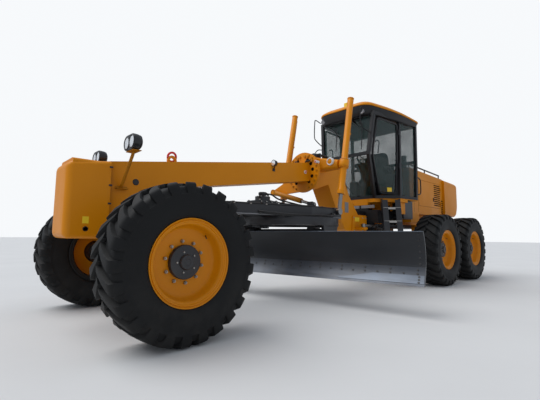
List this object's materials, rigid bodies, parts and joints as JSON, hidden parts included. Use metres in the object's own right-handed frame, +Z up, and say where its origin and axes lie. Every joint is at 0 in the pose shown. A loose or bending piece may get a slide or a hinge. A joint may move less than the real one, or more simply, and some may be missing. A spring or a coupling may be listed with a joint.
{
  "type": "motor grader",
  "caption": "Articulated motor grader with an arched front beam, a raised blade under a turning circle, a glazed cab ahead of the engine hood, and lugged tyres on tandem rear axles.",
  "frame": {"origin": "middle of the footprint, on the ground", "axes": "+X forwards, +Y to the left, +Z up"},
  "size_m": [8.7495, 4.1055, 3.3983],
  "materials": {
    "paint": "satin",
    "axle_paint": "satin",
    "rim_paint": "satin",
    "graphite": "satin",
    "black_paint": "satin",
    "lamp_black": "satin",
    "chrome_rod": "gloss",
    "blade_steel": "satin",
    "edge_steel": "satin",
    "engine_iron": "satin",
    "glass": "gloss",
    "interior": "matte",
    "tyre": "matte"
  },
  "bodies": {
    "rear": {"rear_frame": "paint", "tandem_axle": "axle_paint", "engine_block": "engine_iron", "hood": "paint", "radiator_guard": "paint", "exhaust": "black_paint", "cab_frame": "black_paint", "cab_roof": "paint", "cab_glass": "glass", "cab_interior": "interior", "steps_and_rails": "black_paint"},
    "front": {"front_frame": "paint", "nose_cover": "paint", "headlamps": "lamp_black", "front_axle": "axle_paint"},
    "lean_bar": {"lean_bar": "axle_paint"},
    "tie_rod": {"tie_rod": "black_paint"},
    "lean_l": {"lean_carrier_l": "axle_paint"},
    "lean_r": {"lean_carrier_r": "axle_paint"},
    "knuckle_l": {"knuckle_l": "black_paint"},
    "knuckle_r": {"knuckle_r": "black_paint"},
    "lift_barrel_l": {"lift_barrel_l": "paint"},
    "lift_barrel_r": {"lift_barrel_r": "paint"},
    "lift_rod_l": {"lift_rod_l": "chrome_rod"},
    "lift_rod_r": {"lift_rod_r": "chrome_rod"},
    "drawbar": {"drawbar": "graphite"},
    "shift_barrel": {"shift_barrel": "paint"},
    "shift_rod": {"shift_rod": "chrome_rod"},
    "circle": {"circle": "graphite"},
    "carriage": {"blade_carriage": "graphite"},
    "blade": {"moldboard": "blade_steel", "cutting_edge": "edge_steel"},
    "tip_barrel": {"tip_barrel": "graphite"},
    "tip_rod": {"tip_rod": "chrome_rod"},
    "hinge_barrel_l": {"hinge_barrel_l": "paint"},
    "hinge_barrel_r": {"hinge_barrel_r": "paint"},
    "hinge_rod_l": {"hinge_rod_l": "chrome_rod"},
    "hinge_rod_r": {"hinge_rod_r": "chrome_rod"},
    "door_l": {"cab_door_l": "black_paint"},
    "door_r": {"cab_door_r": "black_paint"},
    "hood_door_l": {"hood_door_l": "paint"},
    "hood_door_r": {"hood_door_r": "paint"},
    "wheel_fl": {"tyre_fl": "tyre", "rim_fl": "rim_paint"},
    "wheel_fr": {"tyre_fr": "tyre", "rim_fr": "rim_paint"},
    "wheel_ml": {"tyre_ml": "tyre", "rim_ml": "rim_paint"},
    "wheel_mr": {"tyre_mr": "tyre", "rim_mr": "rim_paint"},
    "wheel_rl": {"tyre_rl": "tyre", "rim_rl": "rim_paint"},
    "wheel_rr": {"tyre_rr": "tyre", "rim_rr": "rim_paint"}
  },
  "joints": [
    {"name": "frame_hinge", "type": "hinge", "parent": "rear", "child": "front", "pos_m": [-0.575, 0, 1.115], "axis": [0, 0, 1], "range_deg": [-25, 25]},
    {"name": "hinge_barrel_l", "type": "hinge", "parent": "rear", "child": "hinge_barrel_l", "pos_m": [-1.375, 0.43, 1.09], "axis": [0, 0, 1], "range_deg": [-9, 9]},
    {"name": "hinge_rod_l", "type": "slide", "parent": "hinge_barrel_l", "child": "hinge_rod_l", "axis": [0.995, -0.0995, 0], "range_m": [-0.19, 0.19]},
    {"name": "hinge_barrel_r", "type": "hinge", "parent": "rear", "child": "hinge_barrel_r", "pos_m": [-1.375, -0.43, 1.09], "axis": [0, 0, 1], "range_deg": [-9, 9]},
    {"name": "hinge_rod_r", "type": "slide", "parent": "hinge_barrel_r", "child": "hinge_rod_r", "axis": [0.995, 0.0995, 0], "range_m": [-0.19, 0.19]},
    {"name": "steer_l", "type": "hinge", "parent": "lean_l", "child": "knuckle_l", "pos_m": [3.675, 0.93, 0.665], "axis": [0, 0, 1], "range_deg": [-45, 45]},
    {"name": "steer_r", "type": "hinge", "parent": "lean_r", "child": "knuckle_r", "pos_m": [3.675, -0.93, 0.665], "axis": [0, 0, 1], "range_deg": [-45, 45]},
    {"name": "tie_rod_slide", "type": "slide", "parent": "front", "child": "tie_rod", "axis": [0, -1, 0], "range_m": [-0.1, 0.1]},
    {"name": "lean_l", "type": "hinge", "parent": "front", "child": "lean_l", "pos_m": [3.675, 0.74, 0.5], "axis": [1, 0, 0], "range_deg": [-17, 17]},
    {"name": "lean_r", "type": "hinge", "parent": "front", "child": "lean_r", "pos_m": [3.675, -0.74, 0.5], "axis": [1, 0, 0], "range_deg": [-17, 17]},
    {"name": "lean_bar_slide", "type": "slide", "parent": "front", "child": "lean_bar", "axis": [0, -1, 0], "range_m": [-0.12, 0.12]},
    {"name": "wheel_fl", "type": "hinge", "parent": "knuckle_l", "child": "wheel_fl", "pos_m": [3.675, 1.078, 0.665], "axis": [0, 1, 0], "continuous": true},
    {"name": "wheel_fr", "type": "hinge", "parent": "knuckle_r", "child": "wheel_fr", "pos_m": [3.675, -1.078, 0.665], "axis": [0, 1, 0], "continuous": true},
    {"name": "wheel_ml", "type": "hinge", "parent": "rear", "child": "wheel_ml", "pos_m": [-1.774, 1.078, 0.665], "axis": [0, 1, 0], "continuous": true},
    {"name": "wheel_mr", "type": "hinge", "parent": "rear", "child": "wheel_mr", "pos_m": [-1.774, -1.078, 0.665], "axis": [0, 1, 0], "continuous": true},
    {"name": "wheel_rl", "type": "hinge", "parent": "rear", "child": "wheel_rl", "pos_m": [-3.314, 1.078, 0.665], "axis": [0, 1, 0], "continuous": true},
    {"name": "wheel_rr", "type": "hinge", "parent": "rear", "child": "wheel_rr", "pos_m": [-3.314, -1.078, 0.665], "axis": [0, 1, 0], "continuous": true},
    {"name": "blade_lift", "type": "hinge", "parent": "front", "child": "drawbar", "pos_m": [3.345, 0, 1.11], "axis": [0, 1, 0], "range_deg": [-20, 3]},
    {"name": "lift_barrel_l", "type": "hinge", "parent": "front", "child": "lift_barrel_l", "pos_m": [0.615, 0.62, 2.03], "axis": [0, 1, 0], "range_deg": [-6, 6]},
    {"name": "lift_rod_l", "type": "slide", "parent": "lift_barrel_l", "child": "lift_rod_l", "axis": [0.184, 0, -0.9829], "range_m": [-0.15, 0.92]},
    {"name": "lift_barrel_r", "type": "hinge", "parent": "front", "child": "lift_barrel_r", "pos_m": [0.615, -0.62, 2.03], "axis": [0, 1, 0], "range_deg": [-6, 6]},
    {"name": "lift_rod_r", "type": "slide", "parent": "lift_barrel_r", "child": "lift_rod_r", "axis": [0.184, 0, -0.9829], "range_m": [-0.15, 0.92]},
    {"name": "shift_barrel", "type": "hinge", "parent": "front", "child": "shift_barrel", "pos_m": [0.96, -0.6, 1.64], "axis": [1, 0, 0], "range_deg": [-36, 8]},
    {"name": "shift_rod", "type": "slide", "parent": "shift_barrel", "child": "shift_rod", "axis": [0, 0.9586, -0.2848], "range_m": [-0.08, 0.5]},
    {"name": "circle_turn", "type": "hinge", "parent": "drawbar", "child": "circle", "pos_m": [1.225, 0, 1.1], "axis": [0, 0, -1], "range_deg": [-34.2, 55.8]},
    {"name": "blade_tip", "type": "hinge", "parent": "circle", "child": "carriage", "pos_m": [1.42146, 0.03748, 0.6], "axis": [-0.1874, 0.9823, 0], "range_deg": [-5, 35]},
    {"name": "blade_side_shift", "type": "slide", "parent": "carriage", "child": "blade", "axis": [0.1874, -0.9823, 0], "range_m": [-0.5, 0.5]},
    {"name": "tip_barrel", "type": "hinge", "parent": "circle", "child": "tip_barrel", "pos_m": [1.07766, -0.02811, 0.91], "axis": [-0.1874, 0.9823, 0], "range_deg": [-8, 3]},
    {"name": "tip_rod", "type": "slide", "parent": "tip_barrel", "child": "tip_rod", "axis": [0.9566, 0.1825, -0.2272], "range_m": [-0.03, 0.16]},
    {"name": "door_l", "type": "hinge", "parent": "rear", "child": "door_l", "pos_m": [-1.115, 0.678, 2.265], "axis": [0, 0, 1], "range_deg": [0, 80]},
    {"name": "door_r", "type": "hinge", "parent": "rear", "child": "door_r", "pos_m": [-1.115, -0.678, 2.265], "axis": [0, 0, -1], "range_deg": [0, 80]},
    {"name": "hood_door_l", "type": "hinge", "parent": "rear", "child": "hood_door_l", "pos_m": [-3.383, 0.558, 1.845], "axis": [0, 0, 1], "range_deg": [0, 85]},
    {"name": "hood_door_r", "type": "hinge", "parent": "rear", "child": "hood_door_r", "pos_m": [-3.383, -0.558, 1.845], "axis": [0, 0, -1], "range_deg": [0, 85]}
  ],
  "couplings": [
    {"joint": "hinge_barrel_l", "follows": "frame_hinge", "ratio": 0.155},
    {"joint": "hinge_rod_l", "follows": "frame_hinge", "m_per_rad": -0.3415},
    {"joint": "hinge_barrel_r", "follows": "frame_hinge", "ratio": 0.155},
    {"joint": "hinge_rod_r", "follows": "frame_hinge", "m_per_rad": 0.3415},
    {"joint": "steer_r", "follows": "steer_l", "ratio": 1},
    {"joint": "tie_rod_slide", "follows": "steer_l", "m_per_rad": 0.117},
    {"joint": "lean_r", "follows": "lean_l", "ratio": 1},
    {"joint": "lean_bar_slide", "follows": "lean_l", "m_per_rad": 0.35474},
    {"joint": "lift_barrel_l", "follows": "blade_lift", "ratio": -0.1045},
    {"joint": "lift_rod_l", "follows": "blade_lift", "m_per_rad": -2.587},
    {"joint": "lift_barrel_r", "follows": "blade_lift", "ratio": -0.1045},
    {"joint": "lift_rod_r", "follows": "blade_lift", "m_per_rad": -2.587},
    {"joint": "shift_barrel", "follows": "blade_lift", "ratio": 1.73},
    {"joint": "shift_rod", "follows": "blade_lift", "m_per_rad": -1.37},
    {"joint": "tip_barrel", "follows": "blade_tip", "ratio": -0.11},
    {"joint": "tip_rod", "follows": "blade_tip", "m_per_rad": 0.23999}
  ]
}
